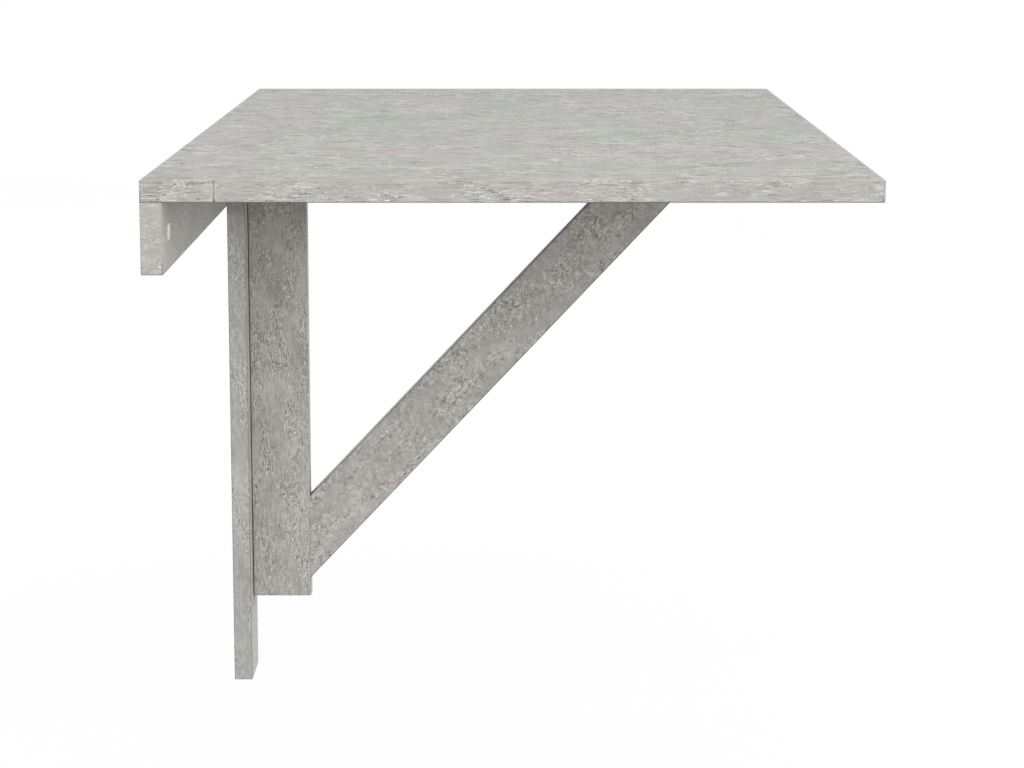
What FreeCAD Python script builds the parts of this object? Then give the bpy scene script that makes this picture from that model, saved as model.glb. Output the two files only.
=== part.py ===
import FreeCAD, Part
import os
from math import atan2, cos, sin, sqrt

from FreeCAD import Matrix, Placement, Rotation, Vector

# Wall table with a hinged leaf and a swinging bracket. The origin is the middle of the rail's back face.
# X runs out from the wall, Y along the wall and Z up. All lengths are in millimetres.

# Table
table_length = 1000.0  # along the wall
table_depth = 600.0  # wall to the leaf's front edge
table_height = 560.0  # top surface down to the post's foot
board = 18.0  # thickness of every board
edge_ease = 0.3  # small chamfer on the boards' edges
rail_height = 59.0
post_width = 60.0
front_band = 1.6  # thickness of the edge band on the leaf's front edge
seam_gap = 0.2  # open seam between strip and leaf

# Bracket
bracket_drop = 478.0  # top surface down to the upright's foot
bracket_gap = 0.8  # post to the upright's back edge
upright_width = 58.0
brace_width = 58.0
bar_height = 50.0
bar_drop = 4.0  # leaf's underside down to the bar's top
bar_overhang = 14.0  # bar past the brace's outer toe
bar_length = 379.0  # upright's front edge to the bar's tip
brace_rise = 19.0  # upright's foot up to the brace's lower toe

# Support pad on the bar
pad_length = 40.0
pad_inset = 5.0  # bar's tip back to the pad
pad_gap = 0.3  # pad to the leaf's underside
pad_corner = 4.0
pad_round = 1.0  # rounding of the pad's top edges
pad_peg_radius = 2.5
pad_peg_length = 8.0

# Hinges, with rolled knuckles on a loose pin
hinge_knuckles = 5
hinge_margin = 0.95  # a hinge plate to the edge or piece beside it
knuckle_gap = 0.3  # knuckles to each other and to the boards that turn past them
pin_radius = 1.25
pin_fit = 0.05  # radial running clearance
pin_overhang = 0.6  # pin past the last knuckle
pin_ease = 0.4  # chamfer on the pin's ends
leaf_hinge_length = 60.0
leaf_hinge_plate = 1.5
leaf_hinge_barrel = 2.5  # outer radius of the knuckles
hinge_to_pad = 32.0  # outer leaf hinges to the path of the bracket's pad
mortise_fit = 0.1  # hinge plate to the sides of its mortise
bracket_hinge_length = 70.0
bracket_hinge_plate = 1.2
bracket_hinge_barrel = 2.25
bracket_hinge_inset = 95.0  # middle of a bracket hinge to the upright's end
fold_clearance = 0.9  # folded bracket to the hanging leaf

# Fasteners
fastener_fit = 0.05  # fastener to its hole, all round
hinge_screw_length = 14.0
hinge_screw_radius = 1.75
screw_rim = 0.1  # hinge plate left under a countersunk head
post_screw_length = 30.0
post_screw_radius = 2.0
post_screw_head = 4.0
dowel_radius = 4.0
dowel_ease = 1.0  # chamfer on the dowels' ends
dowel_length = 35.0
dowel_in_strip = 12.0
dowel_step = 32.0  # rail dowel to the cam lock beside it
bracket_dowel_length = 40.0

# Cam locks, their bolts and their caps
cam_radius = 7.5
cam_wall = 0.4  # cam behind the bolt's head
cam_drop = 28.0  # rail's top edge to the cam's middle
cam_inset = 38.0  # rail's end to the outer cam's middle
cam_slot_depth = 2.0
cam_slot_width = 1.6
cam_slot_length = 9.0
bolt_bore = 4.0  # radius of the hole in the rail's top edge
bolt_thread = 3.0
bolt_thread_depth = 11.0
bolt_shank = 2.3
bolt_neck = 1.75
bolt_neck_height = 3.0
bolt_head = 2.75
bolt_head_height = 2.4
bolt_room = 0.35  # bolt's head to the cam round it
cap_depth = 1.2  # cap inside the bore
cap_rise = 0.6  # cap's dome above the rail's face

# Wall screw holes, through the rail
wall_hole_radius = 3.0
wall_hole_sink = 3.0  # depth of the countersink
wall_hole_pitch = 400.0  # between the outer holes
inner_hole_pitch = 120.0  # between the inner holes

# Screws on a hinge plate, as shares of its length and its width
hinge_screw_shares = ((-0.37, 0.46), (0.0, 0.70), (0.37, 0.46))
# Screws and dowels in the post, as shares of its width and of the rail's height
post_screw_shares = ((-0.34, -0.25), (-0.34, 0.25), (0.34, -0.25), (0.34, 0.25))
post_dowel_shares = (-0.13, 0.13)
# Dowels in the bracket's joints, as shares of each joint's length
bar_dowel_shares = (0.25, 0.75)
brace_foot_shares = (0.45, 0.80)
brace_head_shares = (0.22, 0.55)
# Pegs under the pad, as shares of its length
pad_peg_shares = (0.25, 0.75)

overrun = 2.0  # cuts run past the faces that they open
full_turn = 360.0

# Levels and lines that follow from the sizes above
half_length = table_length / 2
half_board = board / 2
under = rail_height / 2
top = under + board
foot = top - table_height
post_front = board + board
hinge_stand = bracket_hinge_barrel + knuckle_gap
bracket_pin_x = post_front + hinge_stand
bracket_pin_y = half_board + hinge_stand
seam = bracket_pin_x + hinge_stand + board + fold_clearance
upright_back = post_front + bracket_gap
upright_front = upright_back + upright_width
upright_top = under - bar_drop
upright_foot = top - bracket_drop
bar_foot = upright_top - bar_height
bar_tip = upright_front + bar_length
brace_reach = bar_length - bar_overhang
brace_toe = upright_foot + brace_rise
brace_angle = atan2(bar_foot - brace_toe, brace_reach)
brace_foot_length = brace_width / cos(brace_angle)
brace_head_length = brace_width / sin(brace_angle)
pad_tip = bar_tip - pad_inset
pad_back = pad_tip - pad_length
leaf_hinge_width = seam - post_front - hinge_margin
bracket_hinge_width = post_width / 2 - bracket_pin_y - hinge_margin
pad_path = bracket_pin_y + pad_back - bracket_pin_x
leaf_hinge_y = pad_path - hinge_to_pad - leaf_hinge_length / 2
upper_hinge_z = upright_top - bracket_hinge_inset
lower_hinge_z = upright_foot + bracket_hinge_inset
cam_depth = half_board + bolt_head + bolt_room + cam_wall
cam_z = under - cam_drop
cam_outer = half_length - cam_inset
cam_inner = (wall_hole_pitch + inner_hole_pitch) / 4

origin = Vector(0, 0, 0)
out = Vector(1, 0, 0)
along = Vector(0, 1, 0)
up = Vector(0, 0, 1)

pieces = {}
cuts = {}


def keep(name, *solids):
    pieces.setdefault(name, []).extend(solids)


def drill(boards, tool):
    for name in boards:
        cuts.setdefault(name, []).append(tool)


def block(x, y, z):
    return Part.makeBox(x[1] - x[0], y[1] - y[0], z[1] - z[0], Vector(x[0], y[0], z[0]))


def eased(solid):
    return solid.makeChamfer(edge_ease, solid.Edges)


def finished(name, solid):
    # a board with the holes and mortises that its fittings need
    return solid.cut(cuts[name]).Solids[0]


def turned(outline):
    # outline of (radius, height) points, turned about Z
    points = [Vector(radius, 0, height) for radius, height in outline]
    return Part.Face(Part.makePolygon(points + points[:1])).revolve(origin, up, full_turn)


def aimed(solid, place, way):
    # turns a solid of its own frame from Z to another way and moves it to its place
    return placed(solid, Placement(place, Rotation(up, way)))


def placed(solid, placement):
    copy = solid.copy()
    copy.Placement = placement
    return copy


def screw(length, radius, head, fit):
    # countersunk screw, driven along Z, with its head's face at zero; a fit above zero makes its hole
    return turned((
        (0, 0), (head + fit, 0), (radius + fit, head - radius), (radius + fit, length - radius),
        (0, length + fit),
    ))


def dowel(length, fit):
    # wooden peg with chamfered ends; a fit above zero makes its hole
    radius = dowel_radius + fit
    neck = radius - dowel_ease
    return turned((
        (0, -fit), (neck, -fit), (radius, dowel_ease - fit), (radius, length - dowel_ease + fit),
        (neck, length + fit), (0, length + fit),
    ))


def add_dowel(name, boards, place, way, length):
    keep(name, aimed(dowel(length, 0), place, way))
    drill(boards, aimed(dowel(length, fastener_fit), place, way))


def add_screw(name, boards, place, way, length, radius, head):
    keep(name, aimed(screw(length, radius, head, 0), place, way))
    drill(boards, aimed(screw(length, radius, head, fastener_fit), place, way))


def hinge_pin(length):
    reach = length / 2 + pin_overhang
    neck = pin_radius - pin_ease
    return turned((
        (0, -reach), (neck, -reach), (pin_radius, pin_ease - reach), (pin_radius, reach - pin_ease),
        (neck, reach), (0, reach),
    ))


def hinge_plate(length, width, plate, barrel, seat, first):
    # own frame: pin along Z, plate along X and its board on the Y side, from the height of seat
    step = length / hinge_knuckles
    sides = (seat - plate, seat)
    solid = block((barrel + knuckle_gap, width), sides, (-length / 2, length / 2))
    for index in range(first, hinge_knuckles, 2):
        low = index * step - length / 2 + knuckle_gap / 2
        high = low + step - knuckle_gap
        roll = Part.makeCylinder(barrel, high - low, Vector(0, 0, low))
        solid = solid.fuse([roll, block((0, barrel + knuckle_gap + hinge_margin), sides, (low, high))])
    bore = Part.makeCylinder(pin_radius + pin_fit, length, Vector(0, 0, -length / 2))
    head = hinge_screw_radius + plate - screw_rim
    holes = []
    for share_along, share_across in hinge_screw_shares:
        place = Vector(share_across * width, seat - plate, share_along * length)
        holes.append(aimed(screw(hinge_screw_length, hinge_screw_radius, head, fastener_fit), place, along))
    return solid.cut([bore] + holes).removeSplitter().Solids[0]


def add_hinge_side(plate_name, screw_name, board_name, sizes, first, placement):
    # one plate with its screws, and their holes in the board
    length, width, plate, barrel, seat = sizes
    keep(plate_name, placed(hinge_plate(*sizes, first), placement))
    head = hinge_screw_radius + plate - screw_rim
    for share_along, share_across in hinge_screw_shares:
        place = placement.multVec(Vector(share_across * width, seat - plate, share_along * length))
        way = placement.Rotation.multVec(along)
        add_screw(screw_name, [board_name], place, way, hinge_screw_length, hinge_screw_radius, head)


def side_frame(place, x_way, y_way):
    z_way = x_way.cross(y_way)
    return Placement(Matrix(
        x_way.x, y_way.x, z_way.x, place.x,
        x_way.y, y_way.y, z_way.y, place.y,
        x_way.z, y_way.z, z_way.z, place.z,
    ))


def mortise():
    # flush seat for a leaf hinge's plate, with a round relief for its knuckles
    half = leaf_hinge_length / 2 + mortise_fit
    relief = leaf_hinge_length / 2 + pin_overhang + knuckle_gap
    seat = block((0, leaf_hinge_width + mortise_fit), (-overrun, leaf_hinge_plate), (-half, half))
    roll = Part.makeCylinder(leaf_hinge_barrel + knuckle_gap, relief + relief, Vector(0, 0, -relief))
    return seat.fuse(roll)


def add_leaf_hinges():
    # three hinges let into the undersides, with the pins on the seam's line
    sizes = (leaf_hinge_length, leaf_hinge_width, leaf_hinge_plate, leaf_hinge_barrel, leaf_hinge_plate)
    for name, y in (("near", -leaf_hinge_y), ("middle", 0), ("far", leaf_hinge_y)):
        place = Vector(seam, y, under)
        still = side_frame(place, -out, up)
        swung = side_frame(place, out, up)
        add_hinge_side(f"strip_hinge_plate_{name}", "strip_hinge_screws", "top_strip", sizes, 0, still)
        add_hinge_side(f"leaf_hinge_plate_{name}", "leaf_hinge_screws", "leaf_panel", sizes, 1, swung)
        keep(f"leaf_hinge_pin_{name}", placed(hinge_pin(leaf_hinge_length), still))
        drill(["top_strip"], placed(mortise(), still))
        drill(["leaf_panel"], placed(mortise(), swung))


def add_bracket_hinges():
    # two hinges in the corner between the post and the bracket, on the side that the bracket swings to
    sizes = (bracket_hinge_length, bracket_hinge_width, bracket_hinge_plate, bracket_hinge_barrel, hinge_stand)
    for name, z in (("upper", upper_hinge_z), ("lower", lower_hinge_z)):
        place = Vector(bracket_pin_x, bracket_pin_y, z)
        still = side_frame(place, along, -out)
        swung = side_frame(place, out, -along)
        add_hinge_side(f"post_hinge_plate_{name}", "post_hinge_screws", "wall_post", sizes, 0, still)
        add_hinge_side(
            f"bracket_hinge_plate_{name}", "bracket_hinge_screws", "bracket_upright", sizes, 1, swung)
        keep(f"bracket_hinge_pin_{name}", placed(hinge_pin(bracket_hinge_length), still))


def rod_x(radius, low, high):
    return Part.makeCylinder(radius, high - low, Vector(low, 0, 0), out)


def cam_bolt():
    # own frame: the middle of the cam at zero, screwed up into the strip
    half_head = bolt_head_height / 2
    neck_top = half_head + bolt_neck_height
    thread_top = cam_drop + bolt_thread_depth
    return turned((
        (0, -half_head), (bolt_head, -half_head), (bolt_head, half_head), (bolt_neck, half_head),
        (bolt_neck, neck_top), (bolt_shank, neck_top), (bolt_shank, cam_drop), (bolt_thread, cam_drop),
        (bolt_thread, thread_top), (0, thread_top),
    ))


def cam_lock():
    # own frame: the rail's face at zero and the bore along -X, open upwards for the bolt's head
    radius = cam_radius - fastener_fit
    solid = rod_x(radius, -cam_depth, -cap_depth)
    bolt_x = half_board - board
    room = bolt_head_height / 2 + bolt_room
    pocket = Part.makeCylinder(bolt_head + bolt_room, cam_radius + room, Vector(bolt_x, 0, -room))
    slot_x = (-cap_depth - cam_slot_depth, 0)
    long_half = cam_slot_length / 2
    short_half = cam_slot_width / 2
    slot = block(slot_x, (-long_half, long_half), (-short_half, short_half))
    cross = block(slot_x, (-short_half, short_half), (-long_half, long_half))
    return solid.cut([pocket, slot, cross]).Solids[0]


def cover_cap():
    # own frame: the rail's face at zero, pointing up Z; a shallow dome over a short plug
    radius = cam_radius - fastener_fit
    ball = (radius ** 2 + cap_rise ** 2) / (2 * cap_rise)
    middle = radius / 2
    middle_rise = sqrt(ball ** 2 - middle ** 2) - ball + cap_rise
    rim = Vector(radius, 0, 0)
    crown = Vector(0, 0, cap_rise)
    base = Vector(0, 0, -cap_depth)
    heel = Vector(radius, 0, -cap_depth)
    dome = Part.Arc(rim, Vector(middle, 0, middle_rise), crown).toShape()
    sides = [Part.makeLine(crown, base), Part.makeLine(base, heel), Part.makeLine(heel, rim)]
    return Part.Face(Part.Wire(sides + [dome])).revolve(origin, up, full_turn)


def add_cam_joints():
    # the strip is pulled down on the rail by cam locks, each with a dowel beside it
    for y, side in ((-cam_outer, 1), (-cam_inner, 1), (cam_inner, -1), (cam_outer, -1)):
        place = Vector(board, y, cam_z)
        bolt_place = Vector(half_board, y, cam_z)
        strip_hole = Vector(half_board, y, under - overrun)
        keep("cam_locks", placed(cam_lock(), Placement(place, Rotation())))
        keep("cam_cover_caps", aimed(cover_cap(), place, out))
        keep("cam_bolts", aimed(cam_bolt(), bolt_place, up))
        drill(["wall_rail"], Part.makeCylinder(cam_radius, cam_depth + overrun, place + out * overrun, -out))
        drill(["wall_rail"], Part.makeCylinder(bolt_bore, cam_drop + overrun, bolt_place))
        thread_hole = bolt_thread_depth + overrun + fastener_fit
        drill(["top_strip"], Part.makeCylinder(bolt_thread + fastener_fit, thread_hole, strip_hole))
        dowel_foot = Vector(half_board, y + side * dowel_step, under + dowel_in_strip - dowel_length)
        add_dowel("rail_dowels", ["wall_rail", "top_strip"], dowel_foot, up, dowel_length)


def add_post_joints():
    # the post hangs under the strip on dowels and is screwed to the rail from behind
    for share in post_dowel_shares:
        place = Vector(board + half_board, share * post_width, under + dowel_in_strip - dowel_length)
        add_dowel("post_dowels", ["wall_post", "top_strip"], place, up, dowel_length)
    for share_across, share_up in post_screw_shares:
        place = Vector(0, share_across * post_width, share_up * rail_height)
        boards = ["wall_rail", "wall_post"]
        add_screw("post_screws", boards, place, out, post_screw_length, post_screw_radius, post_screw_head)


def add_wall_holes():
    # countersunk holes for the wall screws, clear of the post
    for pitch in (wall_hole_pitch, inner_hole_pitch):
        for y in (-pitch / 2, pitch / 2):
            through = Part.makeCylinder(wall_hole_radius, board + overrun, Vector(-overrun, y, 0), out)
            wide = wall_hole_radius + wall_hole_sink
            place = Vector(board - wall_hole_sink, y, 0)
            sink = Part.makeCone(wall_hole_radius, wide, wall_hole_sink, place, out)
            drill(["wall_rail"], through)
            drill(["wall_rail"], sink)


def add_bracket_dowels():
    # two dowels in each joint of the bracket's triangle
    half = bracket_dowel_length / 2
    for share in bar_dowel_shares:
        place = Vector(upright_front - half, 0, bar_foot + share * bar_height)
        add_dowel("bracket_dowels", ["bracket_upright", "bracket_bar"], place, out, bracket_dowel_length)
    for share in brace_foot_shares:
        place = Vector(upright_front - half, 0, brace_toe + share * brace_foot_length)
        add_dowel("bracket_dowels", ["bracket_upright", "bracket_brace"], place, out, bracket_dowel_length)
    for share in brace_head_shares:
        x = upright_front + brace_reach - brace_head_length + share * brace_head_length
        place = Vector(x, 0, bar_foot - half)
        add_dowel("bracket_dowels", ["bracket_brace", "bracket_bar"], place, up, bracket_dowel_length)


def add_support_pad():
    # low glide with rounded edges, pegged into the bar near its tip
    body = block((pad_back, pad_tip), (-half_board, half_board), (upright_top, under - pad_gap))
    corners = [edge for edge in body.Edges if abs(edge.tangentAt(0).z) == 1]
    body = body.makeFillet(pad_corner, corners)
    rim = [edge for edge in body.Edges if edge.BoundBox.ZMin > upright_top]
    body = body.makeFillet(pad_round, rim)
    for share in pad_peg_shares:
        place = Vector(pad_back + share * pad_length, 0, upright_top - pad_peg_length)
        body = body.fuse(Part.makeCylinder(pad_peg_radius, pad_peg_length, place))
        deep = pad_peg_length + fastener_fit
        hole_place = Vector(place.x, place.y, upright_top - deep)
        hole = Part.makeCylinder(pad_peg_radius + fastener_fit, deep + overrun, hole_place)
        drill(["bracket_bar"], hole)
    keep("support_pad", body.Solids[0])


def add_brace():
    # board with one end cut to the upright and the other to the bar
    x = upright_front
    toe = x + brace_reach
    outline = [
        Vector(x, -half_board, brace_toe),
        Vector(toe, -half_board, bar_foot),
        Vector(toe - brace_head_length, -half_board, bar_foot),
        Vector(x, -half_board, brace_toe + brace_foot_length),
    ]
    solid = Part.Face(Part.makePolygon(outline + outline[:1])).extrude(along * board)
    keep("bracket_brace", finished("bracket_brace", eased(solid)))


def add_boards():
    full = (-half_length, half_length)
    thin = (-half_board, half_board)
    across_post = (-post_width / 2, post_width / 2)
    plain = {
        "wall_rail": block((0, board), full, (-under, under)),
        "top_strip": block((0, seam - seam_gap / 2), full, (under, top)),
        "wall_post": block((board, post_front), across_post, (foot, under)),
        "bracket_upright": block((upright_back, upright_front), thin, (upright_foot, upright_top)),
        "bracket_bar": block((upright_front, bar_tip), thin, (bar_foot, upright_top)),
    }
    for name, solid in plain.items():
        keep(name, finished(name, eased(solid)))


def add_leaf():
    # the leaf's front edge carries a glued band, flush with the faces
    full = (-half_length, half_length)
    whole = eased(block((seam + seam_gap / 2, table_depth), full, (under, top)))
    band_zone = block((table_depth - front_band, table_depth), full, (under, top))
    keep("leaf_front_band", whole.common(band_zone).Solids[0])
    keep("leaf_panel", finished("leaf_panel", whole.cut(band_zone).Solids[0]))


add_leaf_hinges()
add_bracket_hinges()
add_cam_joints()
add_post_joints()
add_wall_holes()
add_bracket_dowels()
add_support_pad()
add_brace()
add_boards()
add_leaf()

os.makedirs("parts", exist_ok=True)
for name, solids in pieces.items():
    shape = solids[0] if len(solids) == 1 else Part.makeCompound(solids)
    shape.exportStep(f"parts/{name}.step")
    valid = all(solid.isValid() for solid in solids)
    print(f"{name}: {len(solids)} solids, {shape.Volume:.1f} mm3, valid {valid}")
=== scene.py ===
import bmesh
import bpy
import math
import random
from mathutils import Euler, Matrix, Quaternion, Vector


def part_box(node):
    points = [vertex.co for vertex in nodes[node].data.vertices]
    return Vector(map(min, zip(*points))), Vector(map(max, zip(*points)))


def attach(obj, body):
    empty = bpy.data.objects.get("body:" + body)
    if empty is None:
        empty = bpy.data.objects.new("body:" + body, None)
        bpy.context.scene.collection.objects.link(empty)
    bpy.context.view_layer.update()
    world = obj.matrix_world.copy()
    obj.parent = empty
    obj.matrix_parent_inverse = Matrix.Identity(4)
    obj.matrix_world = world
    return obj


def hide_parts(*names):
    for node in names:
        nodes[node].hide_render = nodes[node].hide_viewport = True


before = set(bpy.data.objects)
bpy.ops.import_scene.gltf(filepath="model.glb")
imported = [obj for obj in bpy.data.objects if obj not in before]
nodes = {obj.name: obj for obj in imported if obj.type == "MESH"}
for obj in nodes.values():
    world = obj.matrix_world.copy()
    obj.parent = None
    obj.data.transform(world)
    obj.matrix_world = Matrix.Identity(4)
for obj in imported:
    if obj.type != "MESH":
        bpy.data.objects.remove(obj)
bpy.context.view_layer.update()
mm = 0.001  # the frame is in metres
random.seed(7)
print("frame loaded with", len(nodes), "nodes")


def hexColour(text):
    channels = [int(text[i:i + 2], 16) / 255 for i in (1, 3, 5)]
    linear = [c / 12.92 if c <= 0.04045 else ((c + 0.055) / 1.055) ** 2.4 for c in channels]
    return (*linear, 1.0)


def addNode(tree, kind, inputs=None, **settings):
    # one node, its settings, and each input as a plain value or a link
    node = tree.nodes.new("ShaderNode" + kind)
    for name, value in settings.items():
        setattr(node, name, value)
    for socket, value in (inputs or {}).items():
        if isinstance(value, bpy.types.NodeSocket):
            tree.links.new(value, node.inputs[socket])
        else:
            node.inputs[socket].default_value = value
    return node


def startMaterial(name, inputs):
    material = bpy.data.materials.new(name)
    material.use_nodes = True
    tree = material.node_tree
    tree.nodes.clear()
    shader = addNode(tree, "BsdfPrincipled", inputs)
    addNode(tree, "OutputMaterial", {"Surface": shader.outputs[0]})
    return material, tree, shader


def finishSurface(tree, shader, look, colour, sheenNoise, reliefNoise):
    # the colour, a roughness that follows one noise and a fine relief from another, its height in mm
    start, end = look["sheenRange"]
    first, last = look["roughness"]
    sheen = addNode(tree, "MapRange", {0: sheenNoise, 1: start, 2: end, 3: first, 4: last})
    bump = addNode(tree, "Bump", {
        "Height": reliefNoise, "Distance": look["relief"] * mm, "Strength": look["reliefStrength"]})
    tree.links.new(colour, shader.inputs["Base Color"])
    tree.links.new(sheen.outputs[0], shader.inputs["Roughness"])
    tree.links.new(bump.outputs[0], shader.inputs["Normal"])


def dress(nodeName, material):
    piece = nodes[nodeName]
    piece.data.materials.clear()
    piece.data.materials.append(material)


# Melamine-faced chipboard, pressed with a printed concrete paper
concretePrint = {  # soft clouds, trowel smears, flecks and pits, a dull sheen, brown chips where it is cut
    "ior": 1.5,
    "specular": 0.3,
    "base": "#BEB9B6",
    "dark": "#85817E",
    "pale": "#DFDCD8",
    "fleck": "#F4F2EE",
    "pit": "#625E5B",
    # the colour of the painted shade on the arrises
    "arrisShade": "#6E6A66",
    "greenWash": "#F7FFFB",
    "core": "#A88E6B",
    "chip": "#7A6347",
    "noises": {  # size in mm along the grain, across it and through the board, detail, roughness
        "patch": ((110, 190, 110), 2.0, 0.5),
        "cloud": ((48, 40, 30), 3.0, 0.6),
        "cluster": ((52, 40, 16), 3.0, 0.6),
        "grit": ((1.5, 1.2, 1.2), 1.0, 0.6),  # as coarse as it needs to show, the real grit is finer
    },
    "streakNoises": {  # the same, with sizes as shares of the board's own streak
        "haze": ((1.7, 2.0, 2.4), 1.0, 0.5),
        "streak": ((1.0, 1.0, 1.0), 2.0, 0.65),
        "fleck": ((0.5, 0.6, 0.8), 1.0, 0.5),
        "pit": ((0.3, 0.5, 0.9), 0.0, 0.5),
    },
    "hairNoises": {"wisp": ((46, 60, 12), 3.0, 0.6), "crack": ((60, 34, 34), 3.0, 0.6)},
    "chipNoise": ((3.0, 2.2, 1.1), 1.0, 0.6),
    "marks": [  # noise, its level where the mark starts and where it is full, strength, colour
        ("cloud", 0.50, 0.25, 0.28, "dark"),
        ("cloud", 0.50, 0.75, 0.32, "pale"),
        ("haze", 0.50, 0.28, 0.18, "dark"),
        ("haze", 0.50, 0.72, 0.20, "pale"),
        ("streak", 0.48, 0.30, 0.70, "dark"),
        ("streak", 0.53, 0.70, 0.75, "pale"),
        ("grit", 0.52, 0.72, 0.35, "pale"),
        ("grit", 0.48, 0.28, 0.35, "dark"),
        ("pit", 0.30, 0.20, 0.55, "pit"),
        ("fleck", 0.63, 0.74, 0.75, "fleck"),
    ],
    "hairLevel": 0.5,  # of its noise, the contour that a hair follows
    "hairMarks": {
        "wisp": ("hair", 0.020, 0.004, 0.40, "pale"),
        "crack": ("hair", 0.010, 0.002, 0.45, "pit"),
    },
    "evenNoises": ("cloud", "haze"),  # their marks lie all over the board, the others in clusters
    "clusterRange": (0.38, 0.62),  # of the noise, from between the clusters to inside them
    "clusterStrength": (0.22, 1.25),
    "washLevel": 0.22,  # of the patch noise, up to which the green wash is full
    "washGain": 0.4,  # what a board's own green adds to that level
    "washBlend": 0.2,
    "washOnEdges": 0.3,
    "endFace": 0.75,  # how squarely a face looks along the grain to count as an end
    "flatFace": (0.7, 0.8),  # how squarely it looks through the board, from an edge to a flat face
    "sideFace": (0.7, 0.3),  # how far up it looks, from none of the painted shade on the arrises to all of it
    "topFace": (0.5, 0.8),  # the same for the painted highlight on the upper arrises
    "arrisLine": (0.9, 0.63),  # mm off the edge, start and full, of the painted shade and highlight, as coarse as they need to show, the real line is finer
    "shadeReach": (0.1, 0.25),  # shares of a board's height, over which the painted shade on the lower arrises fades
    "coreDepth": 0.4,  # mm from the outer faces to where a cut shows the raw core
    "chipRange": (0.4, 0.6),
    "sheenRange": (0.3, 0.7),
    "roughness": (0.68, 0.54),
    "relief": 0.05,  # mm
    "reliefStrength": 0.6,
}

braceLow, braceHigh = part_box("bracket_brace")
braceTurn = math.degrees(math.atan2(braceHigh[2] - braceLow[2], braceHigh[0] - braceLow[0]))
# arris: strengths of the painted shade on the arrises low down and higher up; rim: strength of a painted
# highlight on the upper arrises
topSheet = {  # the leaf and the strip come from one sheet, so the print runs on over the seam
    "turn": (0, 0, 0), "shift": (2550, 1700, 2360), "streak": (14, 5.5, 1.1), "dark": 1.15, "pale": 1.2,
    "green": 0.55, "arrisShade": (0.9, 0.1), "rim": 0.3, "hairs": "wisp"}
boards = {  # turn of the grain in degrees, shift and size of a streak in mm, strengths of what is on it
    "leaf_panel": {**topSheet, "edgeMarks": 0.9},
    "top_strip": {**topSheet, "edgeMarks": 1.45},
    "leaf_front_band": {
        "turn": (0, 0, -90), "shift": (9, 310, 40), "streak": (12, 6, 1.2), "dark": 0.7, "pale": 0.9,
        "green": 0.4, "arrisShade": (0.2, 0.0)},
    "wall_rail": {
        "turn": (0, 0, -90), "shift": (300, 80, 510), "streak": (9, 4, 1.6), "dark": 0.4, "pale": 0.9,
        "green": 0.3, "arrisShade": (0.7, 0.2)},
    "wall_post": {
        "turn": (0, 90, 0), "shift": (120, 60, 230), "streak": (5, 1.1, 1.1), "dark": 1.1, "pale": 1.5,
        "green": 0.4, "arrisShade": (0.6, 0.6)},
    "bracket_upright": {
        "turn": (0, 90, 0), "shift": (620, 10, 70), "streak": (6, 1.3, 1.2), "dark": 1.5, "pale": 1.7,
        "green": 0.15, "arrisShade": (0.4, 0.05)},
    "bracket_bar": {
        "turn": (0, 0, 0), "shift": (810, 90, 410), "streak": (6, 1.4, 1.4), "dark": 1.0, "pale": 1.2,
        "green": 0.3, "arrisShade": (0.4, 0.4)},
    "bracket_brace": {
        "turn": (0, braceTurn, 0), "shift": (230, 55, 640), "streak": (3.8, 3.2, 3.2), "dark": 1.1,
        "pale": 1.45, "green": 0.2, "arrisShade": (0.9, 0.9), "hairs": "crack", "cut": False},
}


def paperOnBoard(tree, turn, shift):
    # a point's place in mm, first along the grain, and how squarely its face looks along each axis
    place = addNode(tree, "TexCoord").outputs
    grain = addNode(tree, "Mapping", {
        "Vector": place["Object"], "Location": shift, "Rotation": turn, "Scale": [1 / mm] * 3}).outputs[0]
    facing = addNode(tree, "Mapping", {"Vector": place["Normal"], "Rotation": turn}, vector_type="VECTOR")
    facing = addNode(tree, "VectorMath", {0: facing.outputs[0]}, operation="ABSOLUTE")
    facing = addNode(tree, "SeparateXYZ", {0: facing.outputs[0]}).outputs
    # on a face that cuts the grain the paper is turned, so that its streaks run along that edge
    isEnd = addNode(tree, "Math", {0: facing["X"], 1: concretePrint["endFace"]}, operation="GREATER_THAN")
    parts = addNode(tree, "SeparateXYZ", {0: grain}).outputs
    turned = addNode(tree, "CombineXYZ", {0: parts["Y"], 1: parts["X"], 2: parts["Z"]})
    paper = addNode(tree, "Mix", {
        0: isEnd.outputs[0], 4: grain, 5: turned.outputs[0]}, data_type="VECTOR").outputs[1]
    return place, grain, facing, paper


def printNoises(tree, paper, streak, hairs, cut):
    look = concretePrint
    layers = dict(look["noises"])
    for layer, (shares, detail, rough) in look["streakNoises"].items():
        layers[layer] = ([size * share for size, share in zip(streak, shares)], detail, rough)
    if hairs:
        layers["hair"] = look["hairNoises"][hairs]
    if cut:
        layers["chip"] = look["chipNoise"]
    noise = {}
    for layer, (sizes, detail, rough) in layers.items():
        scale = [1 / size for size in sizes]
        spot = addNode(tree, "VectorMath", {0: paper, 1: scale}, operation="MULTIPLY")
        noise[layer] = addNode(tree, "TexNoise", {
            "Vector": spot.outputs[0], "Scale": 1.0, "Detail": detail, "Roughness": rough}).outputs[0]
    if hairs:
        offLine = addNode(tree, "Math", {0: noise["hair"], 1: look["hairLevel"]}, operation="SUBTRACT")
        noise["hair"] = addNode(tree, "Math", {0: offLine.outputs[0]}, operation="ABSOLUTE").outputs[0]
    return noise


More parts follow.
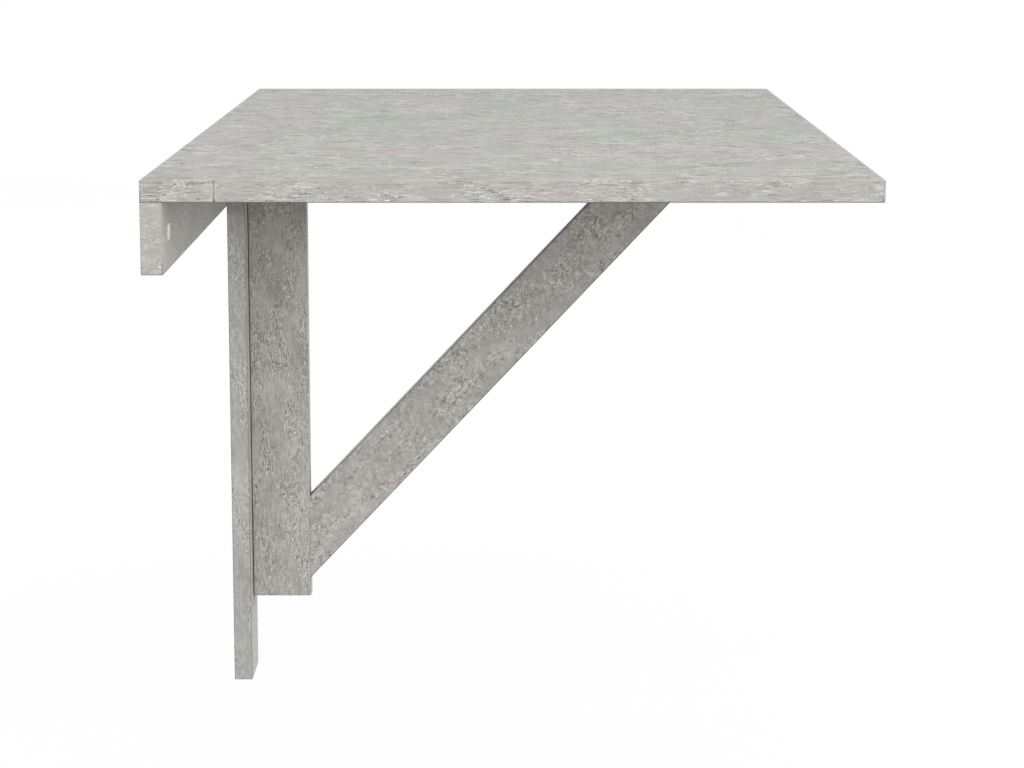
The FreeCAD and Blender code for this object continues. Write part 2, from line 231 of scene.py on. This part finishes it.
def printColour(tree, noise, facing, strengths, green, edgeMarks, hairs):
    # the base, then its marks, the fine ones in clusters, then a thin greenish wash over wide areas
    look = concretePrint
    flatStart, flatEnd = look["flatFace"]
    clusterStart, clusterEnd = look["clusterRange"]
    sparse, dense = look["clusterStrength"]
    busy = addNode(tree, "MapRange", {
        0: noise["cluster"], 1: clusterStart, 2: clusterEnd, 3: sparse, 4: dense},
        interpolation_type="SMOOTHSTEP").outputs[0]
    onEdge = addNode(tree, "MapRange", {0: facing["Z"], 1: flatStart, 2: flatEnd, 3: edgeMarks})
    busy = addNode(tree, "Math", {0: busy, 1: onEdge.outputs[0]}, operation="MULTIPLY").outputs[0]
    marks = list(look["marks"])
    if hairs:
        marks.append(look["hairMarks"][hairs])
    colour = hexColour(look["base"])
    for layer, start, full, strength, tone in marks:
        mask = addNode(tree, "MapRange", {
            0: noise[layer], 1: start, 2: full, 4: strength * strengths[tone]},
            interpolation_type="SMOOTHSTEP").outputs[0]
        if layer not in look["evenNoises"]:
            mask = addNode(tree, "Math", {
                0: busy, 1: mask}, operation="MULTIPLY", use_clamp=True).outputs[0]
        colour = addNode(tree, "Mix", {
            0: mask, 6: colour, 7: hexColour(look[tone])}, data_type="RGBA").outputs[2]

    washFull = look["washLevel"] + look["washGain"] * green
    wash = addNode(tree, "MapRange", {
        0: noise["patch"], 1: washFull + look["washBlend"], 2: washFull}, interpolation_type="SMOOTHSTEP")
    onFlat = addNode(tree, "MapRange", {0: facing["Z"], 1: flatStart, 2: flatEnd, 3: look["washOnEdges"]})
    wash = addNode(tree, "Math", {0: wash.outputs[0], 1: onFlat.outputs[0]}, operation="MULTIPLY")
    return addNode(tree, "Mix", {
        0: wash.outputs[0], 6: colour, 7: hexColour(look["greenWash"])},
        data_type="RGBA", blend_type="MULTIPLY").outputs[2]


def boardDepths(tree, name, grain, turn, shift):
    # in mm, how far a point lies below the board's nearest side and how far off its nearest edge
    intoGrain = Euler(turn).to_matrix()
    corners = [intoGrain @ vertex.co / mm + Vector(shift) for vertex in nodes[name].data.vertices]
    low = Vector([min(corner[i] for corner in corners) for i in range(3)])
    high = Vector([max(corner[i] for corner in corners) for i in range(3)])
    below = addNode(tree, "VectorMath", {0: grain, 1: (low + high) / 2}, operation="SUBTRACT")
    below = addNode(tree, "VectorMath", {0: below.outputs[0]}, operation="ABSOLUTE")
    below = addNode(tree, "VectorMath", {0: (high - low) / 2, 1: below.outputs[0]}, operation="SUBTRACT")
    below = addNode(tree, "SeparateXYZ", {0: below.outputs[0]}).outputs
    nearer = addNode(tree, "Math", {0: below["X"], 1: below["Y"]}, operation="MINIMUM").outputs[0]
    farther = addNode(tree, "Math", {0: below["X"], 1: below["Y"]}, operation="MAXIMUM").outputs[0]
    depth = addNode(tree, "Math", {0: nearer, 1: below["Z"]}, operation="MINIMUM").outputs[0]
    second = addNode(tree, "Math", {0: farther, 1: below["Z"]}, operation="MINIMUM").outputs[0]
    offEdge = addNode(tree, "Math", {0: nearer, 1: second}, operation="MAXIMUM").outputs[0]
    return depth, offEdge


def arrisShadeAndHighlight(tree, name, place, offEdge, colour, arrisShade, rim):
    # a fine line on the arrises: painted shade, with one strength low down and one higher up, strongest
    # where the face looks sideways or down, and a painted highlight on the upper arrises
    look = concretePrint
    lineStart, lineFull = look["arrisLine"]
    line = addNode(tree, "MapRange", {
        0: offEdge, 1: lineStart, 2: lineFull}, interpolation_type="SMOOTHSTEP").outputs[0]
    foot, head = [corner[2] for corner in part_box(name)]
    fadeStart, fadeEnd = [foot + share * (head - foot) for share in look["shadeReach"]]
    level = addNode(tree, "SeparateXYZ", {0: place["Object"]}).outputs["Z"]
    paintedShade = addNode(tree, "MapRange", {
        0: level, 1: fadeStart, 2: fadeEnd, 3: arrisShade[0], 4: arrisShade[1]}).outputs[0]
    upward = addNode(tree, "SeparateXYZ", {0: place["Normal"]}).outputs["Z"]
    # painted shade on the arrises that look sideways or down, stronger low on the board
    lines = [("arrisShade", look["sideFace"], paintedShade)]
    # rim: a painted highlight in the fleck colour on the arrises that look up
    if rim:
        lines.append(("fleck", look["topFace"], rim))
    for tone, (start, full), strength in lines:
        onFace = addNode(tree, "MapRange", {0: upward, 1: start, 2: full, 4: strength}).outputs[0]
        mask = addNode(tree, "Math", {0: line, 1: onFace}, operation="MULTIPLY").outputs[0]
        colour = addNode(tree, "Mix", {
            0: mask, 6: colour, 7: hexColour(look[tone])}, data_type="RGBA").outputs[2]
    return colour


def cutColour(tree, depth, chipNoise, colour):
    # holes and mortises show raw chips, wherever a surface lies inside the board's outer faces
    look = concretePrint
    start, full = look["chipRange"]
    inside = addNode(tree, "Math", {0: depth, 1: look["coreDepth"]}, operation="GREATER_THAN")
    chips = addNode(tree, "MapRange", {0: chipNoise, 1: start, 2: full}, interpolation_type="SMOOTHSTEP")
    core = addNode(tree, "Mix", {
        0: chips.outputs[0], 6: hexColour(look["core"]), 7: hexColour(look["chip"])}, data_type="RGBA")
    return addNode(tree, "Mix", {
        0: inside.outputs[0], 6: colour, 7: core.outputs[2]}, data_type="RGBA").outputs[2]


def concreteMelamine(name, turn, shift, streak, dark, pale, green, arrisShade, rim=0.0, edgeMarks=1.0,
                     hairs=None, cut=True):
    look = concretePrint
    material, tree, shader = startMaterial(
        "concreteMelamine_" + name, {"IOR": look["ior"], "Specular IOR Level": look["specular"]})
    turn = [math.radians(angle) for angle in turn]
    strengths = {"dark": dark, "pit": dark, "pale": pale, "fleck": pale}
    place, grain, facing, paper = paperOnBoard(tree, turn, shift)
    noise = printNoises(tree, paper, streak, hairs, cut)
    depth, offEdge = boardDepths(tree, name, grain, turn, shift)
    colour = printColour(tree, noise, facing, strengths, green, edgeMarks, hairs)
    colour = arrisShadeAndHighlight(tree, name, place, offEdge, colour, arrisShade, rim)
    if cut:
        colour = cutColour(tree, depth, noise["chip"], colour)
    finishSurface(tree, shader, look, colour, noise["streak"], noise["grit"])
    return material


for name, board in boards.items():
    dress(name, concreteMelamine(name, **board))
print("boards dressed:", len(boards))


# Bright zinc-plated steel, pressed and rolled from strip
zincPlating = {  # a cool mirror, dulled by fine rolling lines and the cloudy bloom of the plating bath
    "bright": "#CDCFD1",
    "bloom": "#A9ACAE",
    "lineSize": (25.0, 0.5),  # mm along and across, as coarse as they need to show, real lines are finer
    "lineDetail": 2.0,
    "bloomSize": 9.0,  # mm
    "bloomDetail": 4.0,
    "bloomRoughness": 0.6,
    "bloomRange": (0.38, 0.68),
    "sheenRange": (0.4, 1.5),
    "roughness": (0.22, 0.42),
    "relief": 0.01,  # mm
    "reliefStrength": 0.5,
}


def zincSteel(name, along):
    look = zincPlating
    material, tree, shader = startMaterial("zincPlatedSteel_" + name, {"Metallic": 1.0})
    place = addNode(tree, "TexCoord").outputs["Object"]
    long, short = look["lineSize"]
    lineScale = [1 / ((long if axis == along else short) * mm) for axis in "XYZ"]
    spot = addNode(tree, "VectorMath", {0: place, 1: lineScale}, operation="MULTIPLY")
    lines = addNode(tree, "TexNoise", {
        "Vector": spot.outputs[0], "Scale": 1.0, "Detail": look["lineDetail"]}).outputs[0]
    bloom = addNode(tree, "TexNoise", {
        "Vector": place, "Scale": 1 / (look["bloomSize"] * mm), "Detail": look["bloomDetail"],
        "Roughness": look["bloomRoughness"]}).outputs[0]
    start, full = look["bloomRange"]
    cloudy = addNode(tree, "MapRange", {
        0: bloom, 1: start, 2: full}, interpolation_type="SMOOTHSTEP").outputs[0]
    streaky = addNode(tree, "Math", {0: lines, 1: cloudy}, operation="MULTIPLY")
    colour = addNode(tree, "Mix", {
        0: streaky.outputs[0], 6: hexColour(look["bright"]), 7: hexColour(look["bloom"])}, data_type="RGBA")
    dull = addNode(tree, "Math", {0: lines, 1: cloudy}, operation="ADD")
    finishSurface(tree, shader, look, colour.outputs[2], dull.outputs[0], lines)
    return material


leafHingeSteel = zincSteel("leaf_hinges", "Y")
bracketHingeSteel = zincSteel("bracket_hinges", "Z")
screwSteel = zincSteel("screws", "X")
for name in nodes:
    if "_hinge_plate" in name or "_hinge_pin" in name:
        onBracket = name.startswith(("post", "bracket"))
        dress(name, bracketHingeSteel if onBracket else leafHingeSteel)
dress("cam_bolts", screwSteel)
print("hinges and bolts dressed")


# Cast zinc, raw from the die: dull grey with a fine sandy skin
castZinc = {
    "pale": "#A9ACAE",
    "dull": "#85888B",
    "grain": 1.2,  # mm
    "grainDetail": 3.0,
    "sheenRange": (0.3, 0.7),
    "roughness": (0.42, 0.62),
    "relief": 0.04,  # mm
    "reliefStrength": 0.6,
}


def rawCastZinc():
    look = castZinc
    material, tree, shader = startMaterial("castZinc", {"Metallic": 1.0})
    place = addNode(tree, "TexCoord").outputs["Object"]
    grain = addNode(tree, "TexNoise", {
        "Vector": place, "Scale": 1 / (look["grain"] * mm), "Detail": look["grainDetail"]}).outputs[0]
    colour = addNode(tree, "Mix", {
        0: grain, 6: hexColour(look["pale"]), 7: hexColour(look["dull"])}, data_type="RGBA")
    finishSurface(tree, shader, look, colour.outputs[2], grain, grain)
    return material


# Beech, turned to pegs: warm and even, with short dark ray flecks along the grain
beech = {
    "ior": 1.5,
    "pale": "#D2AE82",
    "warm": "#BC9163",
    "ray": "#93683F",
    "growth": (30, 2.2),  # mm along the grain and across it
    "fleck": (4.0, 0.45),
    "detail": 2.0,
    "fleckRange": (0.58, 0.72),
    "fleckStrength": 0.7,
    "sheenRange": (0.3, 0.7),
    "roughness": (0.55, 0.7),
    "relief": 0.05,  # mm
    "reliefStrength": 0.5,
}


def turnedBeech(name, along):
    look = beech
    material, tree, shader = startMaterial("turnedBeech_" + name, {"IOR": look["ior"]})
    place = addNode(tree, "TexCoord").outputs["Object"]
    noise = {}
    for layer in ("growth", "fleck"):
        long, short = look[layer]
        scale = [1 / ((long if axis == along else short) * mm) for axis in "XYZ"]
        spot = addNode(tree, "VectorMath", {0: place, 1: scale}, operation="MULTIPLY")
        noise[layer] = addNode(tree, "TexNoise", {
            "Vector": spot.outputs[0], "Scale": 1.0, "Detail": look["detail"]}).outputs[0]
    colour = addNode(tree, "Mix", {
        0: noise["growth"], 6: hexColour(look["pale"]), 7: hexColour(look["warm"])},
        data_type="RGBA").outputs[2]
    start, full = look["fleckRange"]
    fleck = addNode(tree, "MapRange", {
        0: noise["fleck"], 1: start, 2: full, 4: look["fleckStrength"]}, interpolation_type="SMOOTHSTEP")
    colour = addNode(tree, "Mix", {
        0: fleck.outputs[0], 6: colour, 7: hexColour(look["ray"])}, data_type="RGBA").outputs[2]
    finishSurface(tree, shader, look, colour, noise["growth"], noise["fleck"])
    return material


dress("cam_locks", rawCastZinc())
dowelBeech = turnedBeech("upright_dowels", "Z")
dress("rail_dowels", dowelBeech)
dress("post_dowels", dowelBeech)
dress("bracket_dowels", turnedBeech("bracket_dowels", "X"))
print("cam locks and dowels dressed")


# Moulded plastics: a soft even gloss over a fine spark-eroded skin, with a slight bloom from a worn mould
mouldSkin = {
    "skinDetail": 2.0,
    "bloomShare": 8,  # of the skin's grain
    "bloomDetail": 3.0,
    "bloomRange": (0.4, 0.7),
    "sheenRange": (0.3, 0.7),
    "relief": 0.02,  # mm
    "reliefStrength": 0.5,
}
plastics = {  # grain in mm
    "polystyrene": {
        "ior": 1.59, "base": "#FBFBF9", "bloom": "#F3F2EF", "grain": 0.9, "roughness": (0.25, 0.35)},
    "nylon": {
        "ior": 1.53, "base": "#DDD8CB", "bloom": "#CBC4B3", "grain": 1.1, "roughness": (0.32, 0.46)},
}


def mouldedPlastic(name):
    look = {**mouldSkin, **plastics[name]}
    material, tree, shader = startMaterial("moulded_" + name, {"IOR": look["ior"]})
    place = addNode(tree, "TexCoord").outputs["Object"]
    skin = addNode(tree, "TexNoise", {
        "Vector": place, "Scale": 1 / (look["grain"] * mm), "Detail": look["skinDetail"]}).outputs[0]
    bloomSize = look["bloomShare"] * look["grain"] * mm
    bloom = addNode(tree, "TexNoise", {
        "Vector": place, "Scale": 1 / bloomSize, "Detail": look["bloomDetail"]}).outputs[0]
    start, full = look["bloomRange"]
    cloudy = addNode(tree, "MapRange", {
        0: bloom, 1: start, 2: full}, interpolation_type="SMOOTHSTEP").outputs[0]
    colour = addNode(tree, "Mix", {
        0: cloudy, 6: hexColour(look["base"]), 7: hexColour(look["bloom"])}, data_type="RGBA")
    finishSurface(tree, shader, look, colour.outputs[2], bloom, skin)
    return material


dress("support_pad", mouldedPlastic("nylon"))
print("support pad dressed")


def clearSelection():
    if bpy.context.object and bpy.context.object.mode != "OBJECT":
        bpy.ops.object.mode_set(mode="OBJECT")
    bpy.ops.object.select_all(action="DESELECT")


def selectAlone(piece):
    clearSelection()
    piece.select_set(True)
    bpy.context.view_layer.objects.active = piece


lookingUp = 0.9  # a normal's least Z on a face that looks up


def selectUpperFaces(piece):
    # the piece is in edit mode
    bpy.ops.mesh.select_mode(type="FACE")
    bpy.ops.mesh.select_all(action="DESELECT")
    mesh = bmesh.from_edit_mesh(piece.data)
    for face in mesh.faces:
        face.select_set(face.normal.z > lookingUp)
    bmesh.update_edit_mesh(piece.data)


def turnOut(name, foot, level, radius, outline, sides):
    # a short cylinder from foot to level, then its upper face pulled from ring to ring, (height, radius)
    clearSelection()
    bpy.ops.mesh.primitive_cylinder_add(
        vertices=sides, radius=radius, depth=level - foot, location=(0, 0, (foot + level) / 2))
    piece = bpy.context.object
    piece.name = name
    bpy.ops.object.transform_apply(location=True, rotation=True, scale=True)
    bpy.ops.object.mode_set(mode="EDIT")
    selectUpperFaces(piece)
    for height, wide in outline:
        bpy.ops.mesh.extrude_region_move(TRANSFORM_OT_translate={"value": (0, 0, height - level)})
        bpy.ops.transform.resize(value=(wide / radius, wide / radius, 1), center_override=(0, 0, height))
        level, radius = height, wide
    bpy.ops.object.mode_set(mode="OBJECT")
    return piece


# Countersunk cross-recess screws, driven along Z with the head's face at zero
screwMake = {
    "sides": 28,
    "rim": 0.12,  # mm, the eased edge of the head
    "neckShare": 0.8,  # plain neck under the head, of the shank's radius
    "pitchShare": 0.85,  # of the shank's radius
    "rootShare": 0.70,
    "pointShare": 0.1,
    "runInShare": 0.2,  # of the pitch, from the neck in to the root
    "ringShares": (0.40, 0.48, 0.85),  # of the pitch, where a ring's rise, crest and fall end
    "crossLengthShare": 1.30,  # of the head's radius
    "crossWidthShare": 0.30,
    "crossDepthShare": 0.50,
    "crossOverrunShare": 0.2,  # of its depth, out of the head's face
    "crossTaper": (0.35, 0.6),  # of its length and width, at its bottom
    "smoothAngle": 32,
}


def screwOutline(head, shank, length):
    make = screwMake
    neck = head - shank + make["neckShare"] * shank
    pitch = make["pitchShare"] * shank
    root = make["rootShare"] * shank
    point = make["pointShare"] * shank
    level = neck + make["runInShare"] * pitch
    rise, crest, fall = make["ringShares"]
    outline = [(head - shank, shank), (neck, shank), (level, root)]
    while level + pitch < length - shank:  # thread rings, not a helix
        outline += [
            (level + rise * pitch, shank), (level + crest * pitch, shank), (level + fall * pitch, root)]
        level += pitch
        outline.append((level, root))
    outline.append((length - point, point))
    return outline


def recessBlade(head, angle):
    # one arm of the cross, narrower at its bottom
    make = screwMake
    deep = make["crossDepthShare"] * head
    overrun = make["crossOverrunShare"] * deep
    middle = (0, 0, (deep - overrun) / 2)
    taperLong, taperWide = make["crossTaper"]
    clearSelection()
    bpy.ops.mesh.primitive_cube_add(size=1, location=middle)
    blade = bpy.context.object
    bpy.ops.object.mode_set(mode="EDIT")
    size = (make["crossLengthShare"] * head, make["crossWidthShare"] * head, deep + overrun)
    bpy.ops.transform.resize(value=size, center_override=middle)
    selectUpperFaces(blade)
    bpy.ops.transform.resize(value=(taperLong, taperWide, 1), center_override=(0, 0, deep))
    bpy.ops.object.mode_set(mode="OBJECT")
    blade.rotation_euler = (0, 0, math.radians(angle))
    bpy.ops.object.transform_apply(location=True, rotation=True, scale=True)
    return blade


def modelScrew(name, head, shank, length):
    make = screwMake
    rim = make["rim"] * mm
    screw = turnOut(name, 0, rim, head - rim, screwOutline(head, shank, length), make["sides"])
    for blade in [recessBlade(head, angle) for angle in (0, 90)]:
        recess = screw.modifiers.new("recess", "BOOLEAN")
        recess.object, recess.operation, recess.solver = blade, "DIFFERENCE", "EXACT"
        selectAlone(screw)
        bpy.ops.object.modifier_apply(modifier="recess")
        bpy.data.objects.remove(blade)
    bpy.ops.object.shade_smooth_by_angle(angle=math.radians(make["smoothAngle"]))
    return screw


headSearch = {
    "level": 0.02,  # mm, from a vertex to the heads' face
    "reach": 16.0,  # mm, across one head and no further
    "decimals": 4,  # of a metre, by which the places are sorted
}


def headPlaces(nodeName, way):
    # the middles of a group's heads, read from the outermost ring of each of its solids
    axis = max(range(3), key=lambda i: abs(way[i]))
    low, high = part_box(nodeName)
    level = low[axis] if way[axis] > 0 else high[axis]
    rings = []
    for vertex in nodes[nodeName].data.vertices:
        if abs(vertex.co[axis] - level) > headSearch["level"] * mm:
            continue
        for ring in rings:
            if (ring[0] - vertex.co).length < headSearch["reach"] * mm:
                ring.append(vertex.co.copy())
                break
        else:
            rings.append([vertex.co.copy()])
    places = []
    for ring in rings:
        places.append(Vector([(min(p[i] for p in ring) + max(p[i] for p in ring)) / 2 for i in range(3)]))
    return sorted(places, key=lambda p: [round(value, headSearch["decimals"]) for value in p])


def setOut(model, name, nodeName, way, body, material, slide=0.0):
    # a copy of the model at each head of the CAD group, each at a random turn, all joined to one piece
    way = Vector(way)
    copies = []
    for place in headPlaces(nodeName, way):
        selectAlone(model)
        bpy.ops.object.duplicate()
        copy = bpy.context.object
        spin = Quaternion((0, 0, 1), random.uniform(0, 2 * math.pi))
        turn = way.to_track_quat("Z", "Y") @ spin
        copy.matrix_world = Matrix.LocRotScale(place + way * slide, turn, None)
        bpy.ops.object.transform_apply(location=True, rotation=True, scale=True)
        copies.append(copy)
    selectAlone(copies[0])
    for copy in copies:
        copy.select_set(True)
    bpy.ops.object.join()
    piece = bpy.context.object
    piece.name = piece.data.name = name
    piece.data.materials.clear()
    piece.data.materials.append(material)
    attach(piece, body)
    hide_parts(nodeName)
    print(name, "set out:", len(copies))


screwSizes = {  # mm, the fits of the CAD screws
    "leafHinge": {"head": 3.15, "shank": 1.75, "length": 14},
    "bracketHinge": {"head": 2.85, "shank": 1.75, "length": 14},
    "post": {"head": 4.0, "shank": 2.0, "length": 30},
}
screwGroups = {  # model, CAD group, way that it is driven, body
    "stripHingeScrews": ("leafHinge", "strip_hinge_screws", (0, 0, 1), "wall_frame"),
    "leafHingeScrews": ("leafHinge", "leaf_hinge_screws", (0, 0, 1), "leaf"),
    "postHingeScrews": ("bracketHinge", "post_hinge_screws", (-1, 0, 0), "wall_frame"),
    "bracketHingeScrews": ("bracketHinge", "bracket_hinge_screws", (0, -1, 0), "bracket"),
    "postScrews": ("post", "post_screws", (1, 0, 0), "wall_frame"),
}
screwModels = {}
for kind, sizes in screwSizes.items():
    screwModels[kind] = modelScrew(kind + "Screw", **{key: size * mm for key, size in sizes.items()})
for name, (kind, nodeName, way, body) in screwGroups.items():
    setOut(screwModels[kind], name, nodeName, way, body, screwSteel)
for model in screwModels.values():
    bpy.data.objects.remove(model)


# Cover caps: a plug in the bore, a rounded rim, a shallow dish and the mark of the mould's gate
coverCap = {  # mm
    "sides": 72,
    "radius": 7.45,
    "plug": 1.2,  # below the rail's face
    "plugEase": 0.25,
    "rimHeight": 0.57,
    "rimOutside": 0.70,  # from the cap's side in to the rim's crest
    "rimInside": 1.65,  # from the crest in to the dish
    "rimSteps": (4, 5),  # outside and inside
    "dishHeight": 0.22,
    "gateMark": [(0.22, 1.2), (0.18, 0.95), (0.16, 0.45)],  # height and radius
    "smoothAngle": 40,
}


def capOutline(cap):
    # a quarter round up to the rim's crest, a soft wave down to the dish, and the small sunk mark in it
    crest, dish = cap["rimHeight"], cap["dishHeight"]
    crestRadius = cap["radius"] - cap["rimOutside"]
    outside, inside = cap["rimSteps"]
    outline = [(2 * cap["plugEase"] - cap["plug"], cap["radius"])]
    for step in range(outside + 1):
        turn = math.pi / 2 * step / outside
        outline.append((crest * math.sin(turn), crestRadius + cap["rimOutside"] * math.cos(turn)))
    for step in range(1, inside + 1):
        share = step / inside
        wave = (1 + math.cos(math.pi * share)) / 2
        outline.append((dish + (crest - dish) * wave, crestRadius - cap["rimInside"] * share))
    outline += cap["gateMark"]
    return [(height * mm, wide * mm) for height, wide in outline]


heel = -coverCap["plug"] * mm
ease = coverCap["plugEase"] * mm
plugRadius = coverCap["radius"] * mm - ease
capModel = turnOut("capModel", heel, heel + ease, plugRadius, capOutline(coverCap), coverCap["sides"])
bpy.ops.object.shade_smooth_by_angle(angle=math.radians(coverCap["smoothAngle"]))
setOut(capModel, "camCoverCaps", "cam_cover_caps", (1, 0, 0), "wall_frame",
       mouldedPlastic("polystyrene"), slide=-heel)
bpy.data.objects.remove(capModel)


def seenRays(tree):
    # 1 for what the camera sees, straight, in a reflection or through glass, 0 for light on the object
    rays = addNode(tree, "LightPath").outputs
    seen = addNode(tree, "Math", {0: rays["Is Camera Ray"], 1: rays["Is Glossy Ray"]}, operation="MAXIMUM")
    seen = addNode(tree, "Math", {0: seen.outputs[0], 1: rays["Is Transmission Ray"]}, operation="MAXIMUM")
    return seen.outputs[0]


# Matt floor paint, pale and far below, as under a table on a wall
floor = {  # to the eye it is white, with the table's soft shadow
    "height": -0.70,
    "size": 60.0,
    "colour": "#A2A2A0",
    "seenColour": "#8C8C8C",
    "glowColour": "#FFFFFF",
    "glow": (0.78, 0.885),  # near and far, rising as the lamps' light fades
    "glowReach": (1.0, 8.0),  # metres from the table
}
clearSelection()
bpy.ops.mesh.primitive_plane_add(size=floor["size"], location=(0, 0, floor["height"]))
floorPiece = bpy.context.object
floorPiece.name = "floor"
floorPaint = bpy.data.materials.new("mattFloorPaint")
floorPaint.use_nodes = True
tree = floorPaint.node_tree
tree.nodes.clear()
matt = addNode(tree, "BsdfDiffuse", {"Color": hexColour(floor["colour"])})
shadow = addNode(tree, "BsdfDiffuse", {"Color": hexColour(floor["seenColour"])})
place = addNode(tree, "TexCoord").outputs["Object"]
away = addNode(tree, "VectorMath", {0: place}, operation="LENGTH").outputs["Value"]
rise = addNode(tree, "MapRange", {
    0: away, 1: floor["glowReach"][0], 2: floor["glowReach"][1], 3: floor["glow"][0], 4: floor["glow"][1]})
glow = addNode(tree, "Emission", {"Color": hexColour(floor["glowColour"]), "Strength": rise.outputs[0]})
shown = addNode(tree, "AddShader", {0: shadow.outputs[0], 1: glow.outputs[0]})
mixed = addNode(tree, "MixShader", {0: seenRays(tree), 1: matt.outputs[0], 2: shown.outputs[0]})
addNode(tree, "OutputMaterial", {"Surface": mixed.outputs[0]})
floorPiece.data.materials.append(floorPaint)

# White behind everything, a dim even sky on the object
sky = {"colour": "#FFFFFF", "strength": 0.44, "seenColour": "#FFFFFF", "seenStrength": 1.0}
world = bpy.data.worlds.new("studio")
bpy.context.scene.world = world
world.use_nodes = True
tree = world.node_tree
tree.nodes.clear()
even = addNode(tree, "Background", {"Color": hexColour(sky["colour"]), "Strength": sky["strength"]})
white = addNode(tree, "Background", {
    "Color": hexColour(sky["seenColour"]), "Strength": sky["seenStrength"]})
mixed = addNode(tree, "MixShader", {0: seenRays(tree), 1: even.outputs[0], 2: white.outputs[0]})
addNode(tree, "OutputWorld", {"Surface": mixed.outputs[0]})

# Softboxes round the table, their radiance the level that a white card shows with nothing else in its view
softboxes = {  # azimuth from the near end to the right and height in degrees, size in metres
    "frontLow": {"azimuth": 0, "height": 9, "size": (3.6, 1.0), "radiance": 2.6},
    "frontMid": {"azimuth": 0, "height": 24, "size": (3.6, 1.7), "radiance": 1.4},
    "frontHigh": {"azimuth": 0, "height": 45, "size": (3.6, 1.8), "radiance": 0.4},
    "rightLow": {"azimuth": 50, "height": 9, "size": (3.6, 1.0), "radiance": 3.2},
    "rightMid": {"azimuth": 50, "height": 24, "size": (3.6, 1.7), "radiance": 1.5},
    "rightHigh": {"azimuth": 50, "height": 45, "size": (3.6, 1.8), "radiance": 1.05},
    "leftMid": {"azimuth": -50, "height": 24, "size": (3.6, 1.7), "radiance": 0.7},
    "leftHigh": {"azimuth": -50, "height": 45, "size": (3.6, 1.8), "radiance": 0.75},
    "right": {"azimuth": 92, "height": 7, "size": (3.6, 1.4), "radiance": 6.6},
    "left": {"azimuth": -72, "height": 12, "size": (3.6, 1.4), "radiance": 2.8},
    "backHigh": {"azimuth": 180, "height": 45, "size": (3.6, 1.8), "radiance": 0.45},
    "back": {"azimuth": -130, "height": 16, "size": (3.6, 2.0), "radiance": 1.4},
}
softboxStand = {"aim": (0.3, 0.0, 0.0), "distance": 5.0}
for name, lamp in softboxes.items():
    azimuth, height = math.radians(lamp["azimuth"]), math.radians(lamp["height"])
    level = math.cos(height)
    away = Vector((math.sin(azimuth) * level, -math.cos(azimuth) * level, math.sin(height)))
    width, tall = lamp["size"]
    bpy.ops.object.light_add(
        type="AREA", location=Vector(softboxStand["aim"]) + away * softboxStand["distance"])
    light = bpy.context.object
    light.name = name + "Softbox"
    light.rotation_euler = (-away).to_track_quat("-Z", "Y").to_euler()
    light.data.shape = "RECTANGLE"
    light.data.size, light.data.size_y = width, tall
    light.data.energy = lamp["radiance"] * math.pi * width * tall  # watts
    light.visible_camera = False
print("floor, sky and", len(softboxes), "softboxes set")

# From one end of the table, a little above its top
camera = {
    "place": (0.3015, -2.5756, 0.2741),
    "tilt": -8.91,  # degrees
    "sensor": 36,  # mm
    "lens": 91.35,
    "shift": (-0.0022, -0.08),
}
levelTurn = 90  # a camera at no turn looks down
bpy.ops.object.camera_add(
    location=camera["place"], rotation=(math.radians(levelTurn + camera["tilt"]), 0, 0))
cameraPiece = bpy.context.object
cameraPiece.data.sensor_width = camera["sensor"]
cameraPiece.data.lens = camera["lens"]
cameraPiece.data.shift_x, cameraPiece.data.shift_y = camera["shift"]
bpy.context.scene.camera = cameraPiece
bpy.context.scene.view_settings.view_transform = "Standard"
print("camera set")
